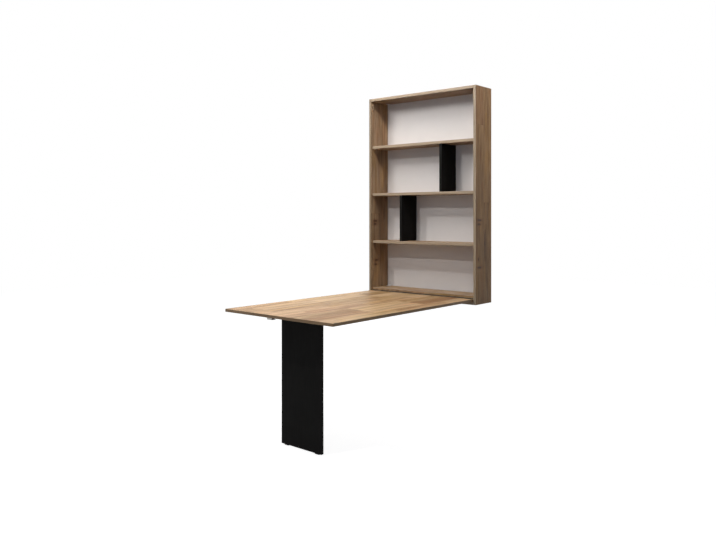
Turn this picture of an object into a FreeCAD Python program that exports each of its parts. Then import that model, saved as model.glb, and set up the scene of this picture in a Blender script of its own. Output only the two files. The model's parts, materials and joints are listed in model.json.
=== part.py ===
import FreeCAD, Part
import os
from FreeCAD import Placement, Rotation, Vector

os.makedirs("parts", exist_ok=True)

# Wall mounted drop leaf table, in millimetres.
# X runs across the cabinet, -Y runs out of the wall into the room, +Z is up.
# Heights in this file are above the floor. save() lowers every piece by fixing_centre, so that
# the finished part has its origin on the wall, in the middle of its four wall screws.
# It is modelled open: the leaf is down and stands on its leg.

# ---- driving sizes ----
cabinet_width = 860.0
cabinet_height = 1371.0
cabinet_depth = 190.0
table_height = 747.0
panel = 18.0
leaf_thickness = 16.0
leg_thickness = 18.0
divider_thickness = 18.0
band = 1.0
back_thickness = 3.0
back_rebate = 8.0
back_edge_step = 2.0

base_shelf_rise = 18.0
upper_divider_offset = 156.0
lower_divider_offset = 166.0
leaf_proud = 6.0
leaf_corner_radius = 6.0
leg_width = 304.0
leg_inset = 190.0

# ---- clearances ----
leaf_rest_gap = 2.0
leaf_side_gap = 1.0
finger_gap = 13.0
leg_top_gap = 1.0
catch_gap = 0.4
bore_clearance = 0.1
bore_end_gap = 0.5
rebate_gap = 0.5

# ---- how far a cutting tool stands out of the board, and how closely edges are matched ----
overcut = 1.0
near_enough = 0.01

# ---- strip hinges of the leaf and of the leg ----
pin_radius = 1.5
pin_clearance = 0.05
hinge_sheet = 1.2
knuckle_clearance = 0.3
knuckle_pitch = 30.0
knuckle_gap = 0.4
hinge_plate_width = 20.0
hinge_end_margin = 5.0
leg_hinge_end_margin = 13.0
hinge_screw_row = 12.4
knuckle_count_per_leaf_screw = 4
knuckle_count_per_leg_screw = 3

# ---- board joints ----
dowel_radius = 4.0
dowel_length = 30.0
dowel_in_side = 12.0
cam_radius = 7.5
cam_height = 12.5
cam_from_end = 24.0
cam_from_edge = 37.0
cam_cover_radius = 8.5
cam_cover_sheet = 0.6
bolt_thread_radius = 3.0
bolt_in_side = 11.0
bolt_shank_radius = 2.4
bolt_head_radius = 3.4
bolt_head_length = 3.0
bolt_bore_radius = 4.0
rail_dowel_in_rail = 11.0
rail_dowel_count = 5
rail_dowel_span = 660.0
back_nail_span = 600.0
back_nails_across = 4
back_nails_up = 5
back_nail_end = 60.0

# ---- wall brackets ----
bracket_leg = 30.0
bracket_width = 20.0
bracket_sheet = 2.0
bracket_bend_radius = 3.0
bracket_from_side = 20.0
wall_screw_drop = 20.0
wall_hole_radius = 2.75
bracket_screw_places = (12.0, 23.0)

# ---- magnetic catches ----
catch_width = 10.0
catch_depth = 14.0
catch_height = 40.0
catch_from_leaf_end = 8.0
catch_screw_spacing = 30.0
magnet_width = 6.0
magnet_depth = 6.0
magnet_height = 18.0
strike_sheet = 1.0
strike_length = 26.0

# ---- pull handle ----
handle_width = 36.0
handle_offset = -47.5
handle_depth = 33.0
handle_drop = 11.0
handle_sheet = 1.6
handle_from_end = 4.0
handle_bend_radius = 2.4
handle_corner_radius = 4.0
handle_block_depth = 22.0
handle_block_inset = 0.6
handle_screw_spacing = 20.0

# ---- glides under the leg ----
glide_length = 36.0
glide_width = 15.0
glide_height = 5.0
glide_from_side = 36.0
glide_screw_spacing = 18.0
glide_screw_recess = 1.0

# ---- screws: head radius, head height, shank radius, length, tip length ----
wood_screw = dict(head=3.1, head_height=1.6, shank=1.5, length=15.0, tip=3.0)
short_screw = dict(head=3.1, head_height=1.6, shank=1.5, length=14.0, tip=3.0)
handle_screw = dict(head=3.1, head_height=1.6, shank=1.5, length=24.0, tip=3.0)
catch_screw = dict(head=2.4, head_height=1.2, shank=1.2, length=20.0, tip=3.0)
back_nail = dict(head=1.6, head_height=0.8, shank=0.7, length=20.0, tip=2.0)
screw_recess_width = 0.9
screw_recess_depth = 1.0
screw_clearance = 0.05
screw_recess_share = 0.62

# ---- places worked out from the sizes ----
half_width = cabinet_width / 2
inner_half = half_width - panel
board_rear = -back_thickness
leaf_underside = table_height - leaf_thickness
bottom_panel_top = leaf_underside - leaf_rest_gap
cabinet_bottom = bottom_panel_top - panel
cabinet_top = cabinet_bottom + cabinet_height
top_panel_underside = cabinet_top - panel
base_shelf_top = table_height + base_shelf_rise
base_shelf_bottom = base_shelf_top - panel
bay_height = (top_panel_underside - base_shelf_top - 3 * panel) / 4
lower_shelf_bottom = base_shelf_top + bay_height
middle_shelf_bottom = lower_shelf_bottom + panel + bay_height
upper_shelf_bottom = middle_shelf_bottom + panel + bay_height

knuckle_radius = pin_radius + pin_clearance + hinge_sheet
plate_offset = knuckle_radius + knuckle_clearance
closed_leaf_inside = -cabinet_depth - leaf_proud + leaf_thickness
leaf_axis_y = closed_leaf_inside + plate_offset
leaf_axis_z = table_height + plate_offset
shelf_front = leaf_axis_y + plate_offset
rail_rear = shelf_front + panel

leaf_half = inner_half - leaf_side_gap
leaf_rear = leaf_axis_y
leaf_length = top_panel_underside - finger_gap - leaf_axis_z
leaf_end = leaf_rear - leaf_length

leg_half = leg_width / 2
leg_front = leaf_end + leg_inset
leg_rear = leg_front + leg_thickness
leg_top = leaf_underside - leg_top_gap
leg_axis_y = leg_rear + plate_offset
leg_axis_z = leaf_underside - plate_offset

bracket_x = inner_half - bracket_from_side
upper_fixing = top_panel_underside - wall_screw_drop
lower_fixing = base_shelf_top + wall_screw_drop
fixing_centre = (upper_fixing + lower_fixing) / 2

drillings = {}


# ---- helpers ----
def block(low, high):
    """Box between its lowest and its highest corner."""
    return Part.makeBox(high[0] - low[0], high[1] - low[1], high[2] - low[2], Vector(*low))


def rod(start, end, radius):
    """Cylinder from one point to another."""
    line = Vector(*end) - Vector(*start)
    return Part.makeCylinder(radius, line.Length, Vector(*start), line)


def drill(node, tool):
    """Note a tool that save() cuts from the named node."""
    drillings.setdefault(node, []).append(tool)


def save(node, solids):
    """Cut the node's drillings, move it to the part's own origin and write its STEP file."""
    tools = drillings.get(node, [])
    finished = []
    for solid in solids:
        near = [tool for tool in tools if tool.BoundBox.intersect(solid.BoundBox)]
        if near:
            solid = solid.cut(near)
        finished.extend(solid.Solids)
    shape = finished[0] if len(finished) == 1 else Part.makeCompound(finished)
    shape = shape.copy()
    shape.translate(Vector(0, 0, -fixing_centre))
    shape.exportStep("parts/" + node + ".step")


def banded(low, high, faces):
    """Split a board into its core and the edge bands on the named faces, in gluing order."""
    low, high = list(low), list(high)
    strips = []
    for face in faces:
        axis = "xyz".index(face[0])
        strip_low, strip_high = list(low), list(high)
        if face[1] == "-":
            low[axis] += band
            strip_high[axis] = low[axis]
        else:
            high[axis] -= band
            strip_low[axis] = high[axis]
        strips.append(block(strip_low, strip_high))
    return block(low, high), strips


def round_slab(half, front, rear, bottom, top, radius):
    """Board whose two front corners are rounded, seen from above."""
    slab = block((-half, front, bottom), (half, rear, top))
    corners = []
    for edge in slab.Edges:
        middle = edge.CenterOfMass
        if abs(middle.y - front) < near_enough and abs(abs(middle.x) - half) < near_enough:
            corners.append(edge)
    return slab.makeFillet(radius, corners)


def screw_body(head, head_height, shank, length, tip, grow=0.0, above=0.0):
    """Countersunk screw on the Z axis: its head's face at 0, its tip down at -length."""
    profile = [
        Vector(0, 0, above),
        Vector(head + grow, 0, above),
        Vector(head + grow, 0, 0),
        Vector(shank + grow, 0, -head_height - grow),
        Vector(shank + grow, 0, tip - length),
        Vector(0, 0, -length - 2 * grow),
        Vector(0, 0, above),
    ]
    if above == 0.0:
        profile.pop(1)
    return Part.makeSolid(Part.Face(Part.makePolygon(profile)).revolve(Vector(), Vector(0, 0, 1), 360))


def screw_pair(sizes):
    """One screw with a cross recess in its head, and the tool that makes its hole."""
    screw = screw_body(**sizes)
    arm = sizes["head"] * screw_recess_share
    half = screw_recess_width / 2
    cross = block((-arm, -half, -screw_recess_depth), (arm, half, overcut))
    cross = cross.fuse(block((-half, -arm, -screw_recess_depth), (half, arm, overcut)))
    return screw.cut(cross), screw_body(grow=screw_clearance, above=overcut, **sizes)


def place_screws(sizes, heads, into, nodes):
    """Screws with their heads' faces at the points heads, drilled into the nodes named."""
    screw, tool = screw_pair(sizes)
    turn = Rotation(Vector(0, 0, -1), Vector(*into))
    placed = []
    for head in heads:
        spot = Placement(Vector(*head), turn)
        fastener = screw.copy()
        fastener.Placement = spot
        placed.append(fastener)
        for node in nodes:
            hole = tool.copy()
            hole.Placement = spot
            drill(node, hole)
    return placed


# ---- strip hinge ----
def hinge_count(length):
    """Odd number of knuckles that fits in the length."""
    count = int(length // knuckle_pitch)
    return count if count % 2 else count - 1


def hinge_half(count, parity, side):
    """One half of a strip hinge about the X axis, its plate running to +Y on the given Z side."""
    start = -count * knuckle_pitch / 2
    tab = knuckle_radius + knuckle_clearance
    low = min(side * plate_offset, side * (plate_offset - hinge_sheet))
    high = low + hinge_sheet
    pieces = [block((start, tab, low), (-start, hinge_plate_width, high))]
    for index in range(parity, count, 2):
        left = start + index * knuckle_pitch + knuckle_gap / 2
        right = left + knuckle_pitch - knuckle_gap
        pieces.append(block((left, 0, low), (right, tab, high)))
        pieces.append(rod((left, 0, 0), (right, 0, 0), knuckle_radius))
    half = pieces[0].multiFuse(pieces[1:]).removeSplitter()
    bore = rod((start - overcut, 0, 0), (overcut - start, 0, 0), pin_radius + pin_clearance)
    return half.cut(bore)


def hinge_screw_places(count, step):
    """Places along the hinge, in the middle of every so many knuckles."""
    start = -count * knuckle_pitch / 2
    return [start + (index + 0.5) * knuckle_pitch for index in range(1, count, step)]


def set_hinge(half, quarter_turns, axis_y, axis_z):
    """Turn a hinge half about X and put it on its axis."""
    placed = half.copy()
    placed.rotate(Vector(), Vector(1, 0, 0), 90 * quarter_turns)
    placed.translate(Vector(0, axis_y, axis_z))
    return placed


# ---- cabinet boards ----
cabinet_bands = []


def side_panel(sign):
    """Upright side with a rebate for the back panel along its rear inner edge."""
    near, far = sorted((sign * inner_half, sign * half_width))
    core, strips = banded((near, -cabinet_depth, cabinet_bottom), (far, 0, cabinet_top), ("y-", "z-", "z+"))
    rebate_x = sorted((sign * inner_half, sign * (inner_half + back_rebate)))
    rebate = block((rebate_x[0], board_rear, cabinet_bottom - overcut),
                   (rebate_x[1], overcut, cabinet_top + overcut))
    cabinet_bands.extend(strip.cut(rebate) for strip in strips)
    return core.cut(rebate)


def cross_board(front, rear, bottom, faces):
    """Board that spans from one side panel to the other."""
    core, strips = banded((-inner_half, front, bottom), (inner_half, rear, bottom + panel), faces)
    cabinet_bands.extend(strips)
    return core


side_panels = {"left_side_panel": side_panel(-1), "right_side_panel": side_panel(1)}

# name: front, rear, bottom, banded faces, face with the cams
cross_boards = {
    "top_panel": (-cabinet_depth, board_rear, top_panel_underside, ("y-",), 1),
    "upper_shelf": (shelf_front, board_rear, upper_shelf_bottom, ("y-",), -1),
    "middle_shelf": (shelf_front, board_rear, middle_shelf_bottom, ("y-",), -1),
    "lower_shelf": (shelf_front, board_rear, lower_shelf_bottom, ("y-",), -1),
    "base_shelf": (rail_rear, board_rear, base_shelf_bottom, (), -1),
    "bottom_panel": (-cabinet_depth, board_rear, cabinet_bottom, ("y-",), -1),
}

rail_core, rail_strips = banded(
    (-inner_half, shelf_front, bottom_panel_top), (inner_half, rail_rear, base_shelf_top), ("z+",))
cabinet_bands.extend(rail_strips)

# Dividers, one in each of the two middle bays
divider_bands = []
dividers = {}
divider_places = (
    ("upper_divider", upper_divider_offset, middle_shelf_bottom + panel, upper_shelf_bottom,
     "middle_shelf", "upper_shelf"),
    ("lower_divider", -lower_divider_offset, lower_shelf_bottom + panel, middle_shelf_bottom,
     "lower_shelf", "middle_shelf"),
)
for node, centre, bottom, top, below, above in divider_places:
    core, strips = banded(
        (centre - divider_thickness / 2, shelf_front, bottom),
        (centre + divider_thickness / 2, board_rear, top), ("y-",))
    dividers[node] = core
    divider_bands.extend(strips)


# ---- joints between the boards ----
dowels = []
divider_dowels = []
cam_bolts = []
cam_locks = []
cam_covers = []


def fit_dowel(start, end, nodes, group):
    """Dowel between two points, with a slightly wider and longer bore in the boards it joins."""
    group.append(rod(start, end, dowel_radius))
    along = (Vector(*end) - Vector(*start)).normalize()
    bore_start = Vector(*start) - along * bore_end_gap
    bore_end = Vector(*end) + along * bore_end_gap
    for node in nodes:
        drill(node, rod(bore_start, bore_end, dowel_radius + bore_clearance))


def fit_cam(sign, y, bottom, cam_side, node, side_node):
    """Cam lock in a cross board, with the bolt that pulls the board to its side panel."""
    middle = bottom + panel / 2
    face = bottom + panel if cam_side > 0 else bottom
    centre_x = sign * (inner_half - cam_from_end)
    seat = face - cam_side * (cam_cover_sheet + bore_end_gap)
    deep = seat - cam_side * cam_height
    cam = rod((centre_x, y, seat), (centre_x, y, deep), cam_radius - bore_clearance)
    bolt_slot = rod((centre_x, y, middle), (sign * inner_half, y, middle), bolt_bore_radius)
    bolt_seat = bolt_slot.fuse(Part.makeSphere(bolt_bore_radius, Vector(centre_x, y, middle)))
    cam_locks.append(cam.cut(bolt_seat))
    cam_bore_end = deep - cam_side * bore_clearance
    drill(node, rod((centre_x, y, face + cam_side * overcut), (centre_x, y, cam_bore_end), cam_radius))
    drill(node, rod((centre_x, y, middle), (sign * (inner_half + overcut), y, middle), bolt_bore_radius))

    head_end = centre_x + sign * bolt_head_length
    thread_end = sign * (inner_half + bolt_in_side)
    bolt = rod((centre_x, y, middle), (head_end, y, middle), bolt_head_radius)
    bolt = bolt.fuse(rod((head_end, y, middle), (sign * inner_half, y, middle), bolt_shank_radius))
    bolt = bolt.fuse(rod((sign * inner_half, y, middle), (thread_end, y, middle), bolt_thread_radius))
    cam_bolts.append(bolt)
    bore_end = thread_end + sign * bore_end_gap
    drill(side_node, rod((sign * (inner_half - overcut), y, middle), (bore_end, y, middle),
                         bolt_thread_radius + bore_clearance))

    cover = rod((centre_x, y, face), (centre_x, y, face + cam_side * cam_cover_sheet), cam_cover_radius)
    plug = rod((centre_x, y, face), (centre_x, y, seat + cam_side * bore_clearance),
               cam_radius - bore_clearance)
    cam_covers.append(cover.fuse(plug))


for node, (front, rear, bottom, faces, cam_side) in cross_boards.items():
    cam_places = (front + cam_from_edge, rear - cam_from_edge)
    third = (cam_places[1] - cam_places[0]) / 3
    middle = bottom + panel / 2
    for sign, side_node in ((-1, "left_side_panel"), (1, "right_side_panel")):
        dowel_start = sign * (inner_half + dowel_in_side)
        dowel_end = dowel_start - sign * dowel_length
        for y in cam_places:
            fit_cam(sign, y, bottom, cam_side, node, side_node)
        for y in (cam_places[0] + third, cam_places[1] - third):
            fit_dowel((dowel_start, y, middle), (dowel_end, y, middle), (node, side_node), dowels)

# The hinge rail has a dowel in each side panel and a row of dowels in the base shelf
rail_y = (shelf_front + rail_rear) / 2
rail_z = (bottom_panel_top + base_shelf_top) / 2
for sign, side_node in ((-1, "left_side_panel"), (1, "right_side_panel")):
    dowel_start = sign * (inner_half + dowel_in_side)
    fit_dowel((dowel_start, rail_y, rail_z), (dowel_start - sign * dowel_length, rail_y, rail_z),
              ("hinge_rail", side_node), dowels)
for index in range(rail_dowel_count):
    x = rail_dowel_span * (index / (rail_dowel_count - 1) - 0.5)
    z = base_shelf_bottom + panel / 2
    dowel_start = rail_rear - rail_dowel_in_rail
    fit_dowel((x, dowel_start, z), (x, dowel_start + dowel_length, z), ("hinge_rail", "base_shelf"), dowels)

# Each divider has two dowels in the shelf below it and two in the shelf above it
divider_third = (board_rear - shelf_front) / 3
for node, centre, bottom, top, below, above in divider_places:
    for y in (shelf_front + divider_third, board_rear - divider_third):
        foot, head = bottom - dowel_in_side, top + dowel_in_side
        fit_dowel((centre, y, foot), (centre, y, foot + dowel_length), (node, below), divider_dowels)
        fit_dowel((centre, y, head), (centre, y, head - dowel_length), (node, above), divider_dowels)


# ---- back panel and its nails ----
back_half = inner_half + back_rebate - rebate_gap
back_low = cabinet_bottom + back_edge_step
back_high = cabinet_top - back_edge_step
back_panel = block((-back_half, board_rear, back_low), (back_half, 0, back_high))

back_nails = []
for node, (front, rear, bottom, faces, cam_side) in cross_boards.items():
    heads = []
    for index in range(back_nails_across):
        x = back_nail_span * (index / (back_nails_across - 1) - 0.5)
        heads.append((x, 0, bottom + panel / 2))
    back_nails += place_screws(back_nail, heads, (0, -1, 0), ("back_panel", node))
for sign, side_node in ((-1, "left_side_panel"), (1, "right_side_panel")):
    heads = []
    for index in range(back_nails_up):
        rise = (cabinet_height - 2 * back_nail_end) * index / (back_nails_up - 1)
        heads.append((sign * (inner_half + back_rebate / 2), 0, cabinet_bottom + back_nail_end + rise))
    back_nails += place_screws(back_nail, heads, (0, -1, 0), ("back_panel", side_node))


# ---- wall brackets ----
def wall_bracket(x, corner, up):
    """Steel angle in the corner of a board and the back panel; up is the way its wall leg runs."""
    left, right = x - bracket_width / 2, x + bracket_width / 2
    flat_z = sorted((corner, corner + up * bracket_sheet))
    wall_z = sorted((corner, corner + up * bracket_leg))
    angle = block((left, board_rear - bracket_leg, flat_z[0]), (right, board_rear, flat_z[1]))
    angle = angle.fuse(block((left, board_rear - bracket_sheet, wall_z[0]), (right, board_rear, wall_z[1])))
    angle = angle.removeSplitter()
    inner_bend = []
    for edge in angle.Edges:
        middle = edge.CenterOfMass
        at_wall = abs(middle.y - (board_rear - bracket_sheet)) < near_enough
        at_flat = abs(middle.z - (corner + up * bracket_sheet)) < near_enough
        if at_wall and at_flat and edge.Length > bracket_width - overcut:
            inner_bend.append(edge)
    return angle.makeFillet(bracket_bend_radius, inner_bend)


brackets = {}
bracket_screws = []
bracket_places = (
    ("upper", top_panel_underside, -1, "top_panel"),
    ("lower", base_shelf_top, 1, "base_shelf"),
)
for level, corner, up, board in bracket_places:
    for hand, sign in (("left", -1), ("right", 1)):
        node = "wall_bracket_" + level + "_" + hand
        x = sign * bracket_x
        brackets[node] = wall_bracket(x, corner, up)
        hole_z = corner + up * wall_screw_drop
        wall_hole = rod((x, board_rear - bracket_sheet - overcut, hole_z), (x, overcut, hole_z),
                        wall_hole_radius)
        drill(node, wall_hole)
        drill("back_panel", wall_hole)
        heads = []
        for place in bracket_screw_places:
            heads.append((x, board_rear - place, corner + up * bracket_sheet))
        bracket_screws += place_screws(short_screw, heads, (0, 0, -up), (node, board))


# ---- leaf ----
leaf_core = round_slab(leaf_half - band, leaf_end + band, leaf_rear - band,
                       leaf_underside, table_height, leaf_corner_radius - band)
leaf_wrap = round_slab(leaf_half, leaf_end, leaf_rear - band,
                       leaf_underside, table_height, leaf_corner_radius).cut(leaf_core)
leaf_rear_band = block((-leaf_half, leaf_rear - band, leaf_underside), (leaf_half, leaf_rear, table_height))

leaf_hinge_count = hinge_count(2 * (leaf_half - hinge_end_margin))
leaf_hinge_rail_plate = set_hinge(hinge_half(leaf_hinge_count, 0, 1), -1, leaf_axis_y, leaf_axis_z)
leaf_hinge_leaf_plate = set_hinge(hinge_half(leaf_hinge_count, 1, 1), 2, leaf_axis_y, leaf_axis_z)
leaf_hinge_reach = leaf_hinge_count * knuckle_pitch / 2
leaf_hinge_pin = rod((-leaf_hinge_reach, leaf_axis_y, leaf_axis_z),
                     (leaf_hinge_reach, leaf_axis_y, leaf_axis_z), pin_radius)
rail_plate_face = shelf_front - hinge_sheet
leaf_plate_face = table_height + hinge_sheet
leaf_hinge_x = hinge_screw_places(leaf_hinge_count, knuckle_count_per_leaf_screw)
leaf_hinge_rail_screws = place_screws(
    short_screw, [(x, rail_plate_face, leaf_axis_z - hinge_screw_row) for x in leaf_hinge_x],
    (0, 1, 0), ("leaf_hinge_rail_plate", "hinge_rail"))
leaf_hinge_leaf_screws = place_screws(
    short_screw, [(x, leaf_axis_y - hinge_screw_row, leaf_plate_face) for x in leaf_hinge_x],
    (0, 0, -1), ("leaf_hinge_leaf_plate", "table_leaf"))


# ---- pull handle: a bent plate on a block under the leaf's free end ----
handle_left = handle_offset - handle_width / 2
handle_right = handle_offset + handle_width / 2
handle_front = leaf_end + handle_from_end
handle_foot = leaf_underside - handle_drop
handle_block_front = handle_front + handle_sheet
handle_block_rear = handle_block_front + handle_block_depth


def edges_near(shape, length, y, z=None):
    """Edges of one length at a depth y, and at a height z if that is given."""
    found = []
    for edge in shape.Edges:
        middle = edge.CenterOfMass
        at_height = z is None or abs(middle.z - z) < near_enough
        if abs(edge.Length - length) < near_enough and abs(middle.y - y) < near_enough and at_height:
            found.append(edge)
    return found


def bent_pull():
    """Lip in front of the block and a plate under it, which stands out behind it for the fingers."""
    rear = handle_front + handle_depth
    plate = block((handle_left, handle_front, handle_foot), (handle_right, rear, handle_foot + handle_sheet))
    lip = block((handle_left, handle_front, handle_foot),
                (handle_right, handle_front + handle_sheet, leaf_underside))
    pull = plate.fuse(lip).removeSplitter()
    pull = pull.makeFillet(handle_bend_radius, edges_near(pull, handle_width, handle_front, handle_foot))
    return pull.makeFillet(handle_corner_radius, edges_near(pull, handle_sheet, rear))


pull_handle = bent_pull()
handle_block = block(
    (handle_left + handle_block_inset, handle_block_front, handle_foot + handle_sheet),
    (handle_right - handle_block_inset, handle_block_rear, leaf_underside))
handle_block = handle_block.makeFillet(
    handle_bend_radius, edges_near(handle_block, handle_drop - handle_sheet, handle_block_rear))
handle_screw_y = (handle_block_front + handle_block_rear) / 2
handle_screws = place_screws(
    handle_screw,
    [(handle_offset + sign * handle_screw_spacing / 2, handle_screw_y, handle_foot) for sign in (-1, 1)],
    (0, 0, 1), ("pull_handle", "handle_block", "table_leaf"))


# ---- magnetic catches inside the side panels, and their strikes in the leaf ----
closed_leaf_top = leaf_axis_z + leaf_length
catch_high = closed_leaf_top - catch_from_leaf_end
catch_low = catch_high - catch_height
catch_middle = (catch_high + catch_low) / 2
catch_front = closed_leaf_inside + catch_gap
strike_y = leaf_rear - (catch_middle - leaf_axis_z)
catch_housings = []
catch_magnets = []
catch_strikes = []
catch_screws = []
for sign, side_node in ((-1, "left_side_panel"), (1, "right_side_panel")):
    wall_x = sign * inner_half
    face_x = wall_x - sign * catch_width
    low_x, high_x = sorted((wall_x, face_x))
    housing = block((low_x, catch_front, catch_low), (high_x, catch_front + catch_depth, catch_high))
    magnet_x = (low_x + high_x) / 2
    half, rise = magnet_width / 2, magnet_height / 2
    magnet = block((magnet_x - half, catch_front, catch_middle - rise),
                   (magnet_x + half, catch_front + magnet_depth, catch_middle + rise))
    catch_magnets.append(magnet)
    catch_housings.append(housing.cut(magnet))
    heads = []
    for end in (-1, 1):
        heads.append((face_x, catch_front + (catch_depth + magnet_depth) / 2,
                      catch_middle + end * catch_screw_spacing / 2))
    catch_screws += place_screws(catch_screw, heads, (sign, 0, 0), ("catch_housings", side_node))
    strike_x = sign * (leaf_half - band - bore_end_gap - half)
    strike_low = (strike_x - half, strike_y - strike_length / 2, table_height - strike_sheet)
    strike_high = (strike_x + half, strike_y + strike_length / 2, table_height)
    catch_strikes.append(block(strike_low, strike_high))
    drill("table_leaf", block(strike_low, (strike_high[0], strike_high[1], table_height + overcut)))


# ---- leg ----
leg_core, leg_bands = banded((-leg_half, leg_front, glide_height), (leg_half, leg_rear, leg_top),
                             ("x-", "x+", "z-", "z+"))

leg_hinge_count = hinge_count(2 * (leg_half - leg_hinge_end_margin))
leg_hinge_leaf_plate = set_hinge(hinge_half(leg_hinge_count, 0, 1), 0, leg_axis_y, leg_axis_z)
leg_hinge_leg_plate = set_hinge(hinge_half(leg_hinge_count, 1, -1), -1, leg_axis_y, leg_axis_z)
leg_hinge_reach = leg_hinge_count * knuckle_pitch / 2
leg_hinge_pin = rod((-leg_hinge_reach, leg_axis_y, leg_axis_z),
                    (leg_hinge_reach, leg_axis_y, leg_axis_z), pin_radius)
leg_hinge_x = hinge_screw_places(leg_hinge_count, knuckle_count_per_leg_screw)
leg_hinge_leaf_screws = place_screws(
    short_screw, [(x, leg_axis_y + hinge_screw_row, leaf_underside - hinge_sheet) for x in leg_hinge_x],
    (0, 0, 1), ("leg_hinge_leaf_plate", "table_leaf"))
leg_hinge_leg_screws = place_screws(
    short_screw, [(x, leg_rear + hinge_sheet, leg_axis_z - hinge_screw_row) for x in leg_hinge_x],
    (0, -1, 0), ("leg_hinge_leg_plate", "leg_panel"))


def glide(x):
    """Long low pad with round ends, as wide as fits under the leg's edge."""
    middle_y = (leg_front + leg_rear) / 2
    reach = (glide_length - glide_width) / 2
    half = glide_width / 2
    pad = block((x - reach, middle_y - half, 0), (x + reach, middle_y + half, glide_height))
    for end in (-reach, reach):
        pad = pad.fuse(rod((x + end, middle_y, 0), (x + end, middle_y, glide_height), half))
    return pad.removeSplitter()


leg_glides = []
glide_screws = []
for sign in (-1, 1):
    glide_x = sign * (leg_half - glide_from_side)
    leg_glides.append(glide(glide_x))
    heads = []
    for end in (-1, 1):
        heads.append((glide_x + end * glide_screw_spacing / 2, (leg_front + leg_rear) / 2, glide_screw_recess))
    glide_screws += place_screws(wood_screw, heads, (0, 0, 1), ("leg_glides", "leg_edge_bands", "leg_panel"))


# ---- write every node ----
for node, shape in side_panels.items():
    save(node, [shape])
for node, (front, rear, bottom, faces, cam_side) in cross_boards.items():
    save(node, [cross_board(front, rear, bottom, faces)])
save("hinge_rail", [rail_core])
for node, shape in dividers.items():
    save(node, [shape])
save("back_panel", [back_panel])
save("cabinet_edge_bands", cabinet_bands)
save("divider_edge_bands", divider_bands)
save("dowels", dowels)
save("divider_dowels", divider_dowels)
save("cam_bolts", cam_bolts)
save("cam_locks", cam_locks)
save("cam_covers", cam_covers)
save("back_nails", back_nails)
for node, shape in brackets.items():
    save(node, [shape])
save("bracket_screws", bracket_screws)
save("catch_housings", catch_housings)
save("catch_magnets", catch_magnets)
save("catch_screws", catch_screws)
save("leaf_hinge_rail_plate", [leaf_hinge_rail_plate])
save("leaf_hinge_pin", [leaf_hinge_pin])
save("leaf_hinge_rail_screws", leaf_hinge_rail_screws)

save("table_leaf", [leaf_core])
save("leaf_edge_band", [leaf_wrap])
save("leaf_rear_band", [leaf_rear_band])
save("leaf_hinge_leaf_plate", [leaf_hinge_leaf_plate])
save("leaf_hinge_leaf_screws", leaf_hinge_leaf_screws)
save("pull_handle", [pull_handle])
save("handle_block", [handle_block])
save("handle_screws", handle_screws)
save("catch_strikes", catch_strikes)
save("leg_hinge_leaf_plate", [leg_hinge_leaf_plate])
save("leg_hinge_pin", [leg_hinge_pin])
save("leg_hinge_leaf_screws", leg_hinge_leaf_screws)

save("leg_panel", [leg_core])
save("leg_edge_bands", leg_bands)
save("leg_hinge_leg_plate", [leg_hinge_leg_plate])
save("leg_hinge_leg_screws", leg_hinge_leg_screws)
save("leg_glides", leg_glides)
save("glide_screws", glide_screws)
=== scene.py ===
import json
import math

import bmesh
import bpy
from mathutils import Matrix, Vector


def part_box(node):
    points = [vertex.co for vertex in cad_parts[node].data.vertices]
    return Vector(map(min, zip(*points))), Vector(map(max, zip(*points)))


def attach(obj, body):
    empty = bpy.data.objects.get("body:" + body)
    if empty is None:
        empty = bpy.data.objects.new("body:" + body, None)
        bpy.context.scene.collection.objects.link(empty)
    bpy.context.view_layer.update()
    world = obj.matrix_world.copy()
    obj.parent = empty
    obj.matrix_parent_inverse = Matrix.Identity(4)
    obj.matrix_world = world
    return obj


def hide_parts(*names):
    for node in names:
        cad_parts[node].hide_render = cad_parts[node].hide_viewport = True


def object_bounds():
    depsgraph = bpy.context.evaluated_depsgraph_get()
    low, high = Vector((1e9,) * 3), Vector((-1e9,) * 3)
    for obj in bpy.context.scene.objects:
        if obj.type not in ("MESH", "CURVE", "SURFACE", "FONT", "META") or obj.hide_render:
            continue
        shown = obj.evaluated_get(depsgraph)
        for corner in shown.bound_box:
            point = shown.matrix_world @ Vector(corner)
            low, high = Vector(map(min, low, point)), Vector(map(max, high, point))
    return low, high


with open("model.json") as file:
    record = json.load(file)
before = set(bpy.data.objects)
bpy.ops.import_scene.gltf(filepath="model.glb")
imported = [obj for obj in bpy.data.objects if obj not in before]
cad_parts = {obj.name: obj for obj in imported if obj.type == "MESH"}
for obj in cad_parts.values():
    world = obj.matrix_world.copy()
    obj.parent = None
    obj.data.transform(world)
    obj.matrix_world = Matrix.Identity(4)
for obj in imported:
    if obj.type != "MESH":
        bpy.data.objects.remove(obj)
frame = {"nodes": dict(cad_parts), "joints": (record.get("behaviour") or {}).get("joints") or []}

solid_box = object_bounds()
cad = frame["nodes"]

# Shared sizes, in metres
BAND = 0.001
BAND_EASE = 0.0004
LEAF_CORNER = 0.005
PIN_RADIUS = 0.0015
PIN_DOME = 0.0008
KNUCKLE_RADIUS = 0.00275
KNUCKLE_PITCH = 0.030
KNUCKLE_GAP = 0.0004
HINGE_SHEET = 0.0012
PLATE_OFFSET = 0.00305
PLATE_START = 0.003
PLATE_WIDTH = 0.020
CAP_RADIUS = 0.0085
CAP_RISE = 0.0006
TOP_CAPS_ABOVE = 0.6
GLIDE_LENGTH = 0.036
GLIDE_EASE = 0.0009
CATCH_WIDTH = 0.010
CATCH_JAW = 0.003
CATCH_SEAM = 0.0001
CATCH_EASE = 0.0006

SCREW_SIZES = {"Head Radius": 0.0031, "Head Height": 0.0016, "Shank Radius": 0.0015,
               "Shank Length": 0.012, "Recess Width": 0.0009, "Recess Depth": 0.0010}
SAME_POINT = 1e-6

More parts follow.
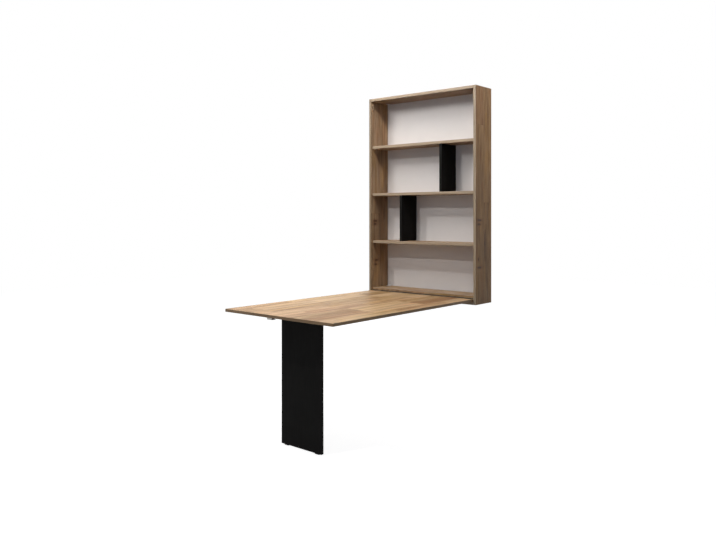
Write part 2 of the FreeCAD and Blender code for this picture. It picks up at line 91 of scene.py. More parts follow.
# Counts and angles
LEAF_KNUCKLES, LEG_KNUCKLES = 27, 9
HEAD_SIDES, SHANK_SIDES, RECESS_SIDES = 28, 14, 16
CAP_SIDES = 36
PIN_SIDES = 20
KNUCKLE_SWEEP = math.radians(325)
SMOOTH_ANGLE = math.radians(32)
EASED_ANGLE = math.radians(40)
QUARTER = math.radians(90)


# ---------------------------------------------------------------- node building
class Wire:
    """A node's output. Sums and products of wires become maths nodes in their tree."""

    def __init__(self, socket):
        self.socket = socket
        self.tree = socket.id_data

    def __add__(self, other):
        return maths("ADD", self, other)

    def __sub__(self, other):
        return maths("SUBTRACT", self, other)

    def __rsub__(self, other):
        return maths("SUBTRACT", other, self)

    def __mul__(self, other):
        return maths("MULTIPLY", self, other)

    def __truediv__(self, other):
        return maths("DIVIDE", self, other)

    def __rtruediv__(self, other):
        return maths("DIVIDE", other, self)


def feed(socket, value):
    """Join a wire to the socket, or set the socket's own value."""
    if isinstance(value, Wire):
        value.tree.links.new(value.socket, socket)
    elif value is not None:
        socket.default_value = value


def place_node(tree, kind, inputs=None, **settings):
    node = tree.nodes.new(kind)
    for name, value in settings.items():
        setattr(node, name, value)
    for key, value in (inputs or {}).items():
        feed(node.inputs[key], value)
    return node


def wire(tree, kind, inputs=None, output=0, **settings):
    """One output of a new node."""
    return Wire(place_node(tree, kind, inputs, **settings).outputs[output])


def maths(operation, *values, clamp=False):
    tree = next(value.tree for value in values if isinstance(value, Wire))
    return wire(tree, "ShaderNodeMath", dict(enumerate(values)), operation=operation,
                use_clamp=clamp)


def vector_maths(tree, operation, first, second=None):
    output = "Value" if operation in ("LENGTH", "DISTANCE") else "Vector"
    return wire(tree, "ShaderNodeVectorMath", {0: first, 1: second}, output, operation=operation)


def combine(tree, x=0.0, y=0.0, z=0.0):
    return wire(tree, "ShaderNodeCombineXYZ", {"X": x, "Y": y, "Z": z})


def separate(tree, value, kind="XYZ"):
    """The three parts of a vector, or of a colour where the kind says so."""
    node = place_node(tree, "ShaderNodeSeparate" + kind, {0: value})
    return [Wire(socket) for socket in node.outputs[:3]]


def noise(tree, vector, scale, detail=3.0, roughness=0.5, distortion=0.0):
    return wire(tree, "ShaderNodeTexNoise", {
        "Vector": vector, "Scale": scale, "Detail": detail, "Roughness": roughness,
        "Distortion": distortion}, "Fac")


def span(tree, value, low, high, to_low=0.0, to_high=1.0):
    """Smooth step of a value from one range to another."""
    return wire(tree, "ShaderNodeMapRange", {
        "Value": value, "From Min": low, "From Max": high, "To Min": to_low, "To Max": to_high},
        interpolation_type="SMOOTHSTEP")


def blend(tree, factor, first, second, how="MIX"):
    return wire(tree, "ShaderNodeMix", {0: factor, 6: first, 7: second}, 2,
                data_type="RGBA", blend_type=how)


def tint(tree, factor, colour, shade):
    """Colour multiplied by a shade, as far as the factor says."""
    return blend(tree, factor, colour, shade, "MULTIPLY")


def new_group(name, kind, inputs, outputs):
    """Node group with named sockets; returns it with its inputs as wires and its output sockets."""
    group = bpy.data.node_groups.new(name, kind)
    for way, sockets in (("INPUT", inputs), ("OUTPUT", outputs)):
        for socket_name, socket_kind, *value in sockets:
            made = group.interface.new_socket(
                socket_name, in_out=way, socket_type="NodeSocket" + socket_kind)
            if value:
                made.default_value = value[0]
    given = {socket.name: Wire(socket) for socket in group.nodes.new("NodeGroupInput").outputs}
    return group, given, group.nodes.new("NodeGroupOutput").inputs


# ---------------------------------------------------------------- shader groups
def make_oak_figure():
    """Oak decor, its grain along X: staggered boards with their own tone, rings, pores and knots."""
    tree, given, out = new_group("oak_figure", "ShaderNodeTree", [
        ("Vector", "Vector"), ("Board Width", "Float", 0.11), ("Board Length", "Float", 0.9),
        ("Seed", "Float", 0.0), ("Pale", "Color", (0.60, 0.42, 0.25, 1)),
        ("Deep", "Color", (0.27, 0.16, 0.085, 1)), ("Tone Spread", "Float", 0.3),
        ("Knots", "Float", 0.35), ("Patches", "Float", 2.0), ("Figure", "Float", 0.5)],
        [("Color", "Color"), ("Height", "Float"), ("Gloss", "Float")])
    along, across, depth = separate(tree, given["Vector"])

    row_place = across / given["Board Width"] + given["Seed"]
    row = maths("FLOOR", row_place)
    row_random = wire(tree, "ShaderNodeTexWhiteNoise", {"W": row}, "Value", noise_dimensions="1D")
    block_place = along / given["Board Length"] + row_random * 7.3
    block = maths("FLOOR", block_place)
    cell_random = place_node(tree, "ShaderNodeTexWhiteNoise", {
        "Vector": combine(tree, row, block, given["Seed"])}, noise_dimensions="3D").outputs
    tone = Wire(cell_random["Value"])
    first, second, third = separate(tree, Wire(cell_random["Color"]), "Color")

    board_along = along + first * 11.0
    board_across = across + second * 5.0
    board_depth = depth + third

    # Knots sit at the cells of a slow pattern and push the grain aside
    knot_cells = place_node(tree, "ShaderNodeTexVoronoi", {
        "Vector": combine(tree, board_along * 0.42, board_across), "Scale": 5.2, "Randomness": 0.9},
        voronoi_dimensions="3D", feature="F1").outputs
    knot_random = separate(tree, Wire(knot_cells["Color"]), "Color")[0]
    has_knot = maths("LESS_THAN", knot_random, given["Knots"])
    knot_edge = Wire(knot_cells["Distance"]) + noise(tree, given["Vector"], 60.0) * 0.05
    knot_core = span(tree, knot_edge, 0.085, 0.03) * has_knot
    knot_halo = span(tree, knot_edge, 0.34, 0.04) * has_knot

    bends = combine(tree, board_along * 1.6, board_across * 9.0, board_depth)
    wander = noise(tree, bends, 1.0, 2.0) - 0.5
    push = wander * 0.050 + knot_halo * 0.020
    lane = maths("FRACT", row_place) - (third * 0.6 + 0.2)
    lane = lane * given["Board Width"] + push
    straight = lane * 150.0
    arched = lane * lane * 5200.0 + board_along * 7.0
    is_arched = maths("GREATER_THAN", second, 0.45)
    ring = maths("FRACT", wire(tree, "ShaderNodeMix", {0: is_arched, 2: straight, 3: arched}))
    ring = span(tree, ring, 0.0, 0.72) * span(tree, ring, 1.0, 0.80)

    pushed = board_across + push
    streaks = combine(tree, board_along * 2.2, pushed * 62.0, board_depth * 62.0)
    streak = noise(tree, streaks, 1.0, 6.0, 0.62)
    patch_along = board_along * given["Patches"]
    broad = noise(tree, combine(tree, patch_along, pushed * 36.0, board_depth), 1.0, 3.0, 0.6)
    hue = noise(tree, combine(tree, patch_along, board_across * 17.0, board_depth + 6.0), 1.0, 2.0)
    pores = combine(tree, board_along * 75.0, pushed * 1500.0, board_depth * 900.0)
    pore = noise(tree, pores, 1.0, 1.0)
    pore = span(tree, pore, 0.60, 0.72) * span(tree, ring, 0.1, 0.9, 0.25, 1.0)

    deepness = (span(tree, broad, 0.34, 0.66) - 0.5) * given["Figure"] + 0.21
    deepness = deepness + span(tree, streak, 0.36, 0.70) * 0.34
    deepness = deepness + ring * 0.26
    deepness = deepness + (tone - 0.55) * given["Tone Spread"]
    deepness = maths("ADD", deepness, knot_halo * 0.38, clamp=True)
    colour = blend(tree, deepness, given["Pale"], given["Deep"])
    reddish = tint(tree, first * 0.55, colour, (1.0, 0.80, 0.66, 1))
    greenish = tint(tree, 0.5, colour, (0.97, 0.94, 0.74, 1))
    colour = blend(tree, span(tree, third, 0.35, 0.9), reddish, greenish)
    colour = tint(tree, span(tree, hue, 0.50, 0.68), colour, (1.04, 0.98, 0.80, 1))
    colour = tint(tree, span(tree, hue, 0.47, 0.30), colour, (1.03, 0.93, 0.86, 1))
    colour = tint(tree, pore * 0.55, colour, (0.40, 0.30, 0.22, 1))
    colour = blend(tree, knot_core * 0.86, colour, (0.045, 0.026, 0.015, 1))

    # A fine dark line where two boards of the decor meet
    seams = []
    for place, size in ((row_place, given["Board Width"]), (block_place, given["Board Length"])):
        off_middle = maths("ABSOLUTE", maths("FRACT", place) - 0.5)
        seams.append(span(tree, (0.5 - off_middle) * size, 0.0011, 0.0002))
    seam = maths("MAXIMUM", *seams)
    feed(out["Color"], tint(tree, seam * 0.55, colour, (0.34, 0.25, 0.18, 1)))
    feed(out["Height"], pore * -0.8 + ring * -0.25 - maths("MAXIMUM", seam, knot_core) * 0.9)
    feed(out["Gloss"], streak * 0.5 + pore * 0.5)
    return tree


def make_single_knot():
    """One dark fleck or knot at a stated place, with its own reach along and across the grain."""
    tree, given, out = new_group("single_knot", "ShaderNodeTree", [
        ("Vector", "Vector"), ("Place", "Vector", (0, 0, 0)), ("Long", "Float", 0.008),
        ("Wide", "Float", 0.02), ("Color", "Color", (1, 1, 1, 1)), ("Height", "Float", 0.0)],
        [("Color", "Color"), ("Height", "Float")])
    offset = vector_maths(tree, "SUBTRACT", given["Vector"], given["Place"])
    along, across = separate(tree, offset)[:2]
    away = combine(tree, along / given["Long"], across / given["Wide"])
    reach = vector_maths(tree, "LENGTH", away) + noise(tree, given["Vector"], 70.0) * 0.7
    core = span(tree, reach, 1.6, 0.9)
    halo = span(tree, reach, 3.2, 1.2)
    colour = tint(tree, halo * 0.5, given["Color"], (0.62, 0.44, 0.33, 1))
    feed(out["Color"], blend(tree, core * 0.78, colour, (0.052, 0.025, 0.014, 1)))
    feed(out["Height"], given["Height"] - core * 0.8)
    return tree


def make_handled():
    """Smears, specks and fine texture of a handled surface: two masks and a height."""
    tree, given, out = new_group("handled_surface", "ShaderNodeTree", [
        ("Vector", "Vector"), ("Smear Size", "Float", 0.09), ("Grain Size", "Float", 0.0006)],
        [("Smears", "Float"), ("Specks", "Float"), ("Height", "Float")])
    smears = noise(tree, given["Vector"], 1.0 / given["Smear Size"], 4.0, 0.6, 0.6)
    feed(out["Smears"], span(tree, smears, 0.32, 0.70))
    feed(out["Specks"], span(tree, noise(tree, given["Vector"], 420.0, 2.0, 0.6), 0.66, 0.76))
    feed(out["Height"], noise(tree, given["Vector"], 1.0 / given["Grain Size"], 2.0))
    return tree


def make_drawn_lines():
    """Fine lines of drawn or brushed metal along X."""
    tree, given, out = new_group("drawn_lines", "ShaderNodeTree", [
        ("Vector", "Vector"), ("Line Scale", "Float", 900.0)],
        [("Lines", "Float"), ("Height", "Float")])
    stretched = vector_maths(tree, "MULTIPLY", given["Vector"], (0.02, 1.0, 1.0))
    lines = noise(tree, stretched, given["Line Scale"], 4.0, 0.65)
    feed(out["Lines"], span(tree, lines, 0.3, 0.7))
    feed(out["Height"], lines)
    return tree


oak_figure = make_oak_figure()
single_knot = make_single_knot()
handled_surface = make_handled()
drawn_lines = make_drawn_lines()


# ---------------------------------------------------------------- materials
def blank_material(name):
    material = bpy.data.materials.new(name)
    material.use_nodes = True
    return material, material.node_tree, material.node_tree.nodes["Principled BSDF"]


def use_group(tree, group, **values):
    node = place_node(tree, "ShaderNodeGroup", {
        name.replace("_", " "): value for name, value in values.items()}, node_tree=group)
    return {socket.name: Wire(socket) for socket in node.outputs}


def object_place(tree, turn=(0.0, 0.0, 0.0)):
    """Object coordinates, turned so that the grain runs along X."""
    place = wire(tree, "ShaderNodeTexCoord", output="Object")
    return wire(tree, "ShaderNodeMapping", {"Vector": place, "Rotation": turn}, vector_type="POINT")


def dress(shader, colour, rough, relief, depth, strength, specular=None, metallic=None):
    """Give a shader its colour, roughness and fine relief."""
    normal = wire(shader.id_data, "ShaderNodeBump", {
        "Height": relief, "Distance": depth, "Strength": strength})
    for name, value in (("Base Color", colour), ("Roughness", rough), ("Normal", normal),
                        ("Specular IOR Level", specular), ("Metallic", metallic)):
        feed(shader.inputs[name], value)


OAK_PALE = (0.590, 0.408, 0.236, 1)
OAK_DEEP = (0.250, 0.138, 0.062, 1)
GRAIN_UP = (0.0, QUARTER, 0.0)
GRAIN_OUT = (0.0, 0.0, QUARTER)
GRAIN_ACROSS = (0.0, 0.0, 0.0)


def oak_board(name, turn, seed, width, length, knots, spread, patches, figure,
              pale=OAK_PALE, deep=OAK_DEEP, knot_places=()):
    material, tree, shader = blank_material(name)
    place = object_place(tree, turn)
    pattern = use_group(tree, oak_figure, Vector=place, Board_Width=width, Board_Length=length,
                        Seed=seed, Pale=pale, Deep=deep, Tone_Spread=spread, Knots=knots,
                        Patches=patches, Figure=figure)
    colour, height = pattern["Color"], pattern["Height"]
    for spot, long, wide in knot_places:
        knot = use_group(tree, single_knot, Vector=place, Place=spot, Long=long, Wide=wide,
                         Color=colour, Height=height)
        colour, height = knot["Color"], knot["Height"]
    smears = use_group(tree, handled_surface, Vector=place)["Smears"]
    rough = pattern["Gloss"] * 0.16 + 0.44 - smears * 0.06
    dress(shader, colour, rough, height, 0.00022, 0.8, specular=0.2)
    return material


def edge_strip(name, pale, deep, seed, specular=0.35):
    """Band glued to a board's edge: its grain follows the band through its own UV map."""
    material, tree, shader = blank_material(name)
    run, rise = separate(tree, wire(tree, "ShaderNodeUVMap", uv_map="along"))[:2]

    def grain(along, across, place, detail, roughness=0.5):
        return noise(tree, combine(tree, run * along, rise * across, place), 1.0, detail, roughness)

    streak = grain(6.0, 320.0, seed, 5.0, 0.6)
    broad = grain(2.4, 60.0, seed + 3.0, 3.0)
    pore = span(tree, grain(90.0, 1700.0, seed, 1.0), 0.6, 0.72)
    deepness = span(tree, streak, 0.3, 0.7) * 0.5 + span(tree, broad, 0.3, 0.7) * 0.5
    colour = tint(tree, pore * 0.4, blend(tree, deepness, pale, deep), (0.45, 0.36, 0.28, 1))
    smears = use_group(tree, handled_surface, Vector=object_place(tree), Smear_Size=0.05)["Smears"]
    colour = tint(tree, smears * 0.2, colour, (0.72, 0.68, 0.62, 1))
    dress(shader, colour, streak * 0.15 + 0.42, pore * -1.0, 0.00015, 0.7, specular)
    return material


def black_board(name, turn):
    """Black decor board with a shallow pressed grain."""
    material, tree, shader = blank_material(name)
    place = object_place(tree, turn)
    along, across, depth = separate(tree, place)
    grain = noise(tree, combine(tree, along * 8.0, across * 420.0, depth * 420.0), 1.0, 4.0, 0.6)
    handled = use_group(tree, handled_surface, Vector=place, Smear_Size=0.12)
    colour = blend(tree, span(tree, grain, 0.35, 0.75), (0.0050, 0.0047, 0.0044, 1),
                   (0.0100, 0.0094, 0.0088, 1))
    colour = blend(tree, handled["Specks"] * 0.10, colour, (0.10, 0.095, 0.09, 1))
    dress(shader, colour, handled["Smears"] * -0.08 + 0.62, grain, 0.00012, 0.6, specular=0.04)
    return material


def pale_backboard():
    """Thin lacquered fibreboard: a faint pressed texture under a pale grey-beige lacquer."""
    material, tree, shader = blank_material("pale_backboard")
    handled = use_group(tree, handled_surface, Vector=object_place(tree), Smear_Size=0.16,
                        Grain_Size=0.0012)
    colour = blend(tree, handled["Smears"] * 0.5, (0.650, 0.624, 0.611, 1),
                   (0.617, 0.592, 0.579, 1))
    colour = blend(tree, handled["Specks"] * 0.12, colour, (0.48, 0.45, 0.42, 1))
    dress(shader, colour, handled["Smears"] * 0.08 + 0.52, handled["Height"], 0.00010, 0.5,
          specular=0.3)
    return material


def worked_metal(name, colour, dull, rough):
    """Plated, cast or drawn metal with fine lines and dull patches."""
    material, tree, shader = blank_material(name)
    place = object_place(tree)
    lines = use_group(tree, drawn_lines, Vector=place)
    handled = use_group(tree, handled_surface, Vector=place, Smear_Size=0.02)
    worn = lines["Lines"] * 0.35 + handled["Smears"] * 0.4
    dress(shader, blend(tree, worn, colour, dull), worn * 0.18 + rough, lines["Height"], 0.00004,
          0.5, metallic=1.0)
    return material


def smeared_coat(name, colour, second, rough, grain, depth, specular=None):
    """Moulded plastic or powder coat: an even skin with a fine texture."""
    material, tree, shader = blank_material(name)
    handled = use_group(tree, handled_surface, Vector=object_place(tree), Smear_Size=0.03,
                        Grain_Size=grain)
    dress(shader, blend(tree, handled["Smears"], colour, second), handled["Smears"] * 0.1 + rough,
          handled["Height"], depth, 0.6, specular)
    return material


def moulded_plastic(name, colour, second, rough, specular=0.4):
    return smeared_coat(name, colour, second, rough, 0.0004, 0.00006, specular)


def turned_beech():
    material, tree, shader = blank_material("raw_beech")
    stretched = vector_maths(tree, "MULTIPLY", object_place(tree), (30.0, 700.0, 700.0))
    grain = noise(tree, stretched, 1.0)
    dress(shader, blend(tree, grain, (0.62, 0.42, 0.25, 1), (0.46, 0.29, 0.16, 1)),
          grain * 0.2 + 0.55, grain, 0.00008, 0.5)
    return material


def knot_on_side(y, z):
    """A knot's place in the turned pattern of an upright board."""
    turned = Matrix.Rotation(GRAIN_UP[1], 3, "Y") @ Vector((0.0, y, z))
    return (turned.x, turned.y, 0.0)


right_knots = (
    (knot_on_side(-0.146, -0.1757), 0.0075, 0.025), (knot_on_side(-0.150, -0.2011), 0.007, 0.020),
    (knot_on_side(-0.146, -0.4714), 0.0075, 0.026), (knot_on_side(-0.158, -0.4200), 0.013, 0.006))
left_knots = (
    (knot_on_side(-0.143, -0.1840), 0.008, 0.022), (knot_on_side(-0.146, -0.2060), 0.008, 0.018),
    (knot_on_side(-0.132, -0.4600), 0.008, 0.020), (knot_on_side(-0.140, -0.4900), 0.006, 0.016))
side_figure = dict(width=0.095, length=1.6, knots=0.06, spread=0.2, patches=4.5, figure=0.5)
shelf_figure = dict(width=0.085, length=1.2, knots=0.15, spread=0.2, patches=4.0, figure=0.6)
leaf_figure = dict(width=0.105, length=0.46, knots=0.22, spread=0.75, patches=2.2, figure=0.72)
# The side panels and the top panel take darker copies of the shelves' oak tone: painted shade for
# faces that stand in shade, such as the left side's inner face, the right side's outer face and the
# top panel's underside
left_shade_painted_tone = dict(pale=(0.368, 0.246, 0.149, 1), deep=(0.148, 0.091, 0.052, 1))
right_shade_painted_tone = dict(pale=(0.378, 0.220, 0.108, 1), deep=(0.149, 0.077, 0.033, 1))
top_shade_painted_tone = dict(pale=(0.345, 0.236, 0.148, 1), deep=(0.152, 0.094, 0.053, 1))
shelf_tone = dict(pale=(0.44, 0.303, 0.188, 1), deep=(0.195, 0.121, 0.067, 1))

node_finish = {
    "left_side_panel": oak_board("oak_left_side", GRAIN_UP, 3.0, knot_places=left_knots,
                                 **left_shade_painted_tone, **side_figure),
    "right_side_panel": oak_board("oak_right_side", GRAIN_UP, 11.0, knot_places=right_knots,
                                  **right_shade_painted_tone, **side_figure),
    "top_panel": oak_board("oak_top", GRAIN_ACROSS, 21.0, **top_shade_painted_tone, **shelf_figure),
}
for name, material_name, seed in (
        ("upper_shelf", "oak_upper_shelf", 34.0), ("middle_shelf", "oak_middle_shelf", 47.0),
        ("lower_shelf", "oak_lower_shelf", 52.0), ("base_shelf", "oak_base_shelf", 65.0),
        ("bottom_panel", "oak_bottom", 73.0), ("hinge_rail", "oak_hinge_rail", 81.0)):
    node_finish[name] = oak_board(material_name, GRAIN_ACROSS, seed, **shelf_tone, **shelf_figure)
node_finish["table_leaf"] = oak_board("oak_leaf", GRAIN_OUT, 7.0, **leaf_figure)
black_upright = black_board("black_upright", GRAIN_UP)
backboard = pale_backboard()
# The edge bands are one oak-coloured band, drawn in lit and shaded copies of its tone: the left
# side's copy is darker, painted shade on the left side's edges. The leaf's copy is darker and
# redder: its own tone, partly painted shade for the leaf's end face, which stands in shadow
shelf_strip = edge_strip("shelf_edge_strip", (0.385, 0.295, 0.206, 1),
                         (0.235, 0.172, 0.113, 1), 1.0)
left_strip_painted_shade = edge_strip("left_edge_strip", (0.270, 0.200, 0.130, 1), (0.163, 0.116, 0.070, 1), 2.0)
right_strip = edge_strip("right_edge_strip", (0.355, 0.276, 0.192, 1),
                         (0.216, 0.160, 0.104, 1), 5.0)
leaf_strip_painted_shade = edge_strip("leaf_edge_strip", (0.300, 0.190, 0.098, 1), (0.132, 0.078, 0.036, 1), 7.0)
black_strip = edge_strip("black_edge_strip", (0.010, 0.0095, 0.009, 1),
                         (0.006, 0.0055, 0.005, 1), 4.0, 0.04)
zinc = worked_metal("zinc_plate", (0.62, 0.63, 0.64, 1), (0.40, 0.40, 0.41, 1), 0.24)
cast_zinc = worked_metal("cast_zinc", (0.50, 0.50, 0.51, 1), (0.32, 0.32, 0.33, 1), 0.42)
# Very dark metal for the hinges and catch parts: partly a dark finish, partly painted shade that
# gives the shadow line along the leaf's rear edge
hinge_steel = worked_metal("bronzed_strip", (0.115, 0.092, 0.070, 1),
                           (0.055, 0.044, 0.035, 1), 0.34)
nickel = worked_metal("satin_nickel", (0.39, 0.37, 0.345, 1), (0.26, 0.25, 0.23, 1), 0.30)
oak_plastic = moulded_plastic("oak_coloured_plastic", (0.44, 0.29, 0.165, 1),
                              (0.37, 0.24, 0.135, 1), 0.42)
brown_plastic = moulded_plastic("brown_plastic", (0.21, 0.135, 0.080, 1),
                                (0.17, 0.108, 0.063, 1), 0.45, 0.2)
black_plastic = moulded_plastic("black_plastic", (0.012, 0.012, 0.012, 1),
                                (0.02, 0.02, 0.02, 1), 0.45)
powder = smeared_coat("powder_coat", (0.60, 0.575, 0.55, 1), (0.55, 0.525, 0.50, 1),
                      0.38, 0.0009, 0.00012)
beech = turned_beech()

for material, names in (
        (black_upright, ("upper_divider", "lower_divider", "leg_panel", "divider_edge_bands",
                         "leg_edge_bands")),
        (backboard, ("back_panel",)),
        (oak_plastic, ("leaf_rear_band", "leaf_edge_band", "cabinet_edge_bands", "cam_covers")),
        (beech, ("dowels", "divider_dowels")),
        (zinc, ("cam_bolts", "back_nails", "bracket_screws", "handle_screws", "glide_screws")),
        (cast_zinc, ("cam_locks",)),
        (hinge_steel, ("catch_magnets", "catch_strikes", "catch_screws")),
        (hinge_steel, [name for name in cad if "hinge" in name and name != "hinge_rail"]),
        (powder, [name for name in cad if name.startswith("wall_bracket")]),
        (brown_plastic, ("catch_housings",)),
        (nickel, ("pull_handle",)),
        (black_plastic, ("leg_glides", "handle_block"))):
    node_finish.update(dict.fromkeys(names, material))
for name, material in node_finish.items():
    mesh = cad[name].data
    mesh.materials.clear()
    mesh.materials.append(material)


# ---------------------------------------------------------------- pieces made as meshes
def link_object(name, data):
    made = bpy.data.objects.new(name, data)
    bpy.context.scene.collection.objects.link(made)
    return made


def mesh_of(bm, name):
    """Mesh of a finished bmesh, its faces turned outward."""
    bmesh.ops.recalc_face_normals(bm, faces=bm.faces)
    mesh = bpy.data.meshes.new(name)
    bm.to_mesh(mesh)
    bm.free()
    return mesh


def add_piece(name, mesh, material, slot, body, stands_for):
    """Link a finished mesh, shade it, give it its finish and let it ride on its body."""
    mesh.name = name
    mesh.shade_smooth()
    mesh.set_sharp_from_angle(angle=SMOOTH_ANGLE)
    mesh.materials.clear()
    mesh.materials.append(material)
    piece = link_object(name, mesh)
    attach(piece, body)
    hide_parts(*stands_for)
    return piece


def arc(start, sweep, steps):
    """Directions round an arc, its angles in degrees."""
    angles = [math.radians(start + sweep * step / steps) for step in range(steps + 1)]
    return [(math.cos(angle), math.sin(angle)) for angle in angles]


def band_section(half, thickness):
    """Outline of an edge band: flat inside, its two outer corners eased."""
    corner = [(thickness - BAND_EASE + BAND_EASE * y, half - BAND_EASE + BAND_EASE * x)
              for x, y in arc(0, 90, 3)]
    return [(0.0, -half), *((out, -rise) for out, rise in corner), *reversed(corner), (0.0, half)]


def sweep_band(bm, layer, path, outward, wide, half, thickness=BAND):
    """Sweep the band's section along the path; UV runs in metres along it and over its width."""
    section = band_section(half, thickness)
    rings = []
    for point, out in zip(path, outward):
        rings.append([bm.verts.new(Vector(point) + Vector(out) * across + Vector(wide) * rise)
                      for across, rise in section])
    run = 0.0
    girth = [0.0]
    for before, after in zip(section, section[1:]):
        girth.append(girth[-1] + math.dist(before, after))
    for index in range(len(rings) - 1):
        step = (Vector(path[index + 1]) - Vector(path[index])).length
        for corner in range(len(section)):
            following = (corner + 1) % len(section)
            face = bm.faces.new((rings[index][corner], rings[index + 1][corner],
                                 rings[index + 1][following], rings[index][following]))
            low = girth[corner]
            high = girth[following] if following else girth[-1] + 2 * half
            spread = (run, low), (run + step, low), (run + step, high), (run, high)
            for loop, uv in zip(face.loops, spread):
                loop[layer].uv = uv
        run += step
    for ring in (rings[0], rings[-1]):
        face = bm.faces.new(ring)
        for loop, uv in zip(face.loops, section):
            loop[layer].uv = uv


def strips_piece(name, strips, material, slot, body, stands_for):
    """Straight bands, each from its two corners and the way it faces."""
    bm = bmesh.new()
    layer = bm.loops.layers.uv.new("along")
    for low, high, out in strips:
        middle = (low + high) / 2
        size = high - low
        thin = max(range(3), key=lambda axis: abs(out[axis]))
        long = max((axis for axis in range(3) if axis != thin), key=lambda axis: size[axis])
        other = 3 - thin - long
        start, end, wide = middle.copy(), middle.copy(), Vector()
        start[long], end[long] = low[long], high[long]
        start[thin] = end[thin] = low[thin] if out[thin] > 0 else high[thin]
        wide[other] = 1.0
        sweep_band(bm, layer, (start, end), (out, out), wide, size[other] / 2, size[thin])
    add_piece(name, mesh_of(bm, name), material, slot, body, (stands_for,))


def band_on(node, axis, sign, wrap=None):
    """Band on one face of a board; along the wrap axis it also covers its neighbours' ends."""
    low, high = (Vector(corner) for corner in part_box(node))
    if sign > 0:
        low[axis], high[axis] = high[axis], high[axis] + BAND
    else:
        low[axis], high[axis] = low[axis] - BAND, low[axis]
    if wrap is not None:
        low[wrap] -= BAND
        high[wrap] += BAND
    out = Vector()
    out[axis] = sign
    return low, high, out


X, Y, Z = range(3)
for side, strip in (("left", left_strip_painted_shade), ("right", right_strip)):
    board = side + "_side_panel"
    side_strips = [band_on(board, Y, -1, Z), band_on(board, Z, -1), band_on(board, Z, 1)]
    strips_piece(side + "_side_strips", side_strips, strip, "oak_edge", "cabinet",
                 "cabinet_edge_bands")
shelf_strips = [band_on(board, Y, -1) for board in (
    "top_panel", "upper_shelf", "middle_shelf", "lower_shelf", "bottom_panel")]
shelf_strips.append(band_on("hinge_rail", Z, 1))
strips_piece("shelf_strips", shelf_strips, shelf_strip, "oak_edge", "cabinet", "cabinet_edge_bands")
divider_strips = [band_on("upper_divider", Y, -1), band_on("lower_divider", Y, -1)]
strips_piece("black_divider_strips", divider_strips, black_strip, "black_edge", "cabinet",
             "divider_edge_bands")
leg_strips = [band for sign in (-1, 1)
              for band in (band_on("leg_panel", X, sign, Z), band_on("leg_panel", Z, sign))]
strips_piece("black_leg_strips", leg_strips, black_strip, "black_edge", "leg", "leg_edge_bands")


def leaf_wrap():
    """One long band round the leaf's sides and end, its grain following the bend."""
    low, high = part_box("table_leaf")
    middle = (high.z + low.z) / 2
    path, outward = [(low.x, high.y, middle)], [(-1, 0, 0)]
    for centre, start in ((low.x + LEAF_CORNER, 180), (high.x - LEAF_CORNER, 270)):
        for x, y in arc(start, 90, 8):
            path.append((centre + LEAF_CORNER * x, low.y + LEAF_CORNER + LEAF_CORNER * y, middle))
            outward.append((x, y, 0))
    path.append((high.x, high.y, middle))
    outward.append((1, 0, 0))
    bm = bmesh.new()
    sweep_band(bm, bm.loops.layers.uv.new("along"), path, outward, (0, 0, 1), (high.z - low.z) / 2)
    add_piece("leaf_edge_strip", mesh_of(bm, "leaf_wrap"), leaf_strip_painted_shade, "oak_edge", "leaf",
              ("leaf_edge_band",))


leaf_wrap()
strips_piece("leaf_rear_strip", [(*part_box("leaf_rear_band"), Vector((0, 1, 0)))], leaf_strip_painted_shade,
             "oak_edge", "leaf", "leaf_rear_band")


# ---------------------------------------------------------------- pieces repeated by Geometry Nodes
def geometry_tree(name, inputs):
    given = [("Geometry", "Geometry"), *inputs, ("Finish", "Material")]
    return new_group(name, "GeometryNodeTree", given, [("Geometry", "Geometry")])


def close_tree(given, out, geometry):
    """Real geometry with its finish, as the export needs it."""
    tree = geometry.tree
    real = wire(tree, "GeometryNodeRealizeInstances", {"Geometry": geometry})
    feed(out["Geometry"], wire(tree, "GeometryNodeSetMaterial", {
        "Geometry": real, "Material": given["Finish"]}))
    return tree


def join(*parts):
    node = parts[0].tree.nodes.new("GeometryNodeJoinGeometry")
    for part in parts:
        feed(node.inputs[0], part)
    return Wire(node.outputs[0])


def moved(geometry, shift=None, turn=None):
    return wire(geometry.tree, "GeometryNodeTransform", {
        "Geometry": geometry, "Translation": shift, "Rotation": turn})


def lifted(geometry, height):
    return moved(geometry, combine(geometry.tree, 0.0, 0.0, height))


def cone(tree, sides, top, bottom, height):
    return wire(tree, "GeometryNodeMeshCone", {
        "Vertices": sides, "Radius Top": top, "Radius Bottom": bottom, "Depth": height},
        fill_type="NGON")


def grow_piece(name, tree, values, spots, material, slot, body, stands_for):
    """Run a tree on points, each with the turn its piece needs, and keep the result as a mesh."""
    places = bpy.data.meshes.new(name)
    places.from_pydata([spot for spot, turn in spots], [], [])
    turns = places.attributes.new("turn", "FLOAT_VECTOR", "POINT")
    for index, (spot, turn) in enumerate(spots):
        turns.data[index].vector = turn
    holder = link_object(name + "_places", places)
    modifier = holder.modifiers.new(name, "NODES")
    modifier.node_group = tree
    sockets = {item.name: item.identifier for item in tree.interface.items_tree
               if item.in_out == "INPUT"}
    for key, value in values.items():
        modifier[sockets[key]] = value
    modifier[sockets["Finish"]] = material
    holder.update_tag()
    bpy.context.view_layer.update()
    grown = holder.evaluated_get(bpy.context.evaluated_depsgraph_get())
    mesh = bpy.data.meshes.new_from_object(grown)
    bpy.data.objects.remove(holder)
    return add_piece(name, mesh, material, slot, body, (stands_for,))


def instances(points, shape):
    tree = points.tree
    turn = wire(tree, "GeometryNodeInputNamedAttribute", {"Name": "turn"}, "Attribute",
                data_type="FLOAT_VECTOR")
    return wire(tree, "GeometryNodeInstanceOnPoints", {
        "Points": points, "Instance": shape,
        "Rotation": wire(tree, "FunctionNodeEulerToRotation", {"Euler": turn})})


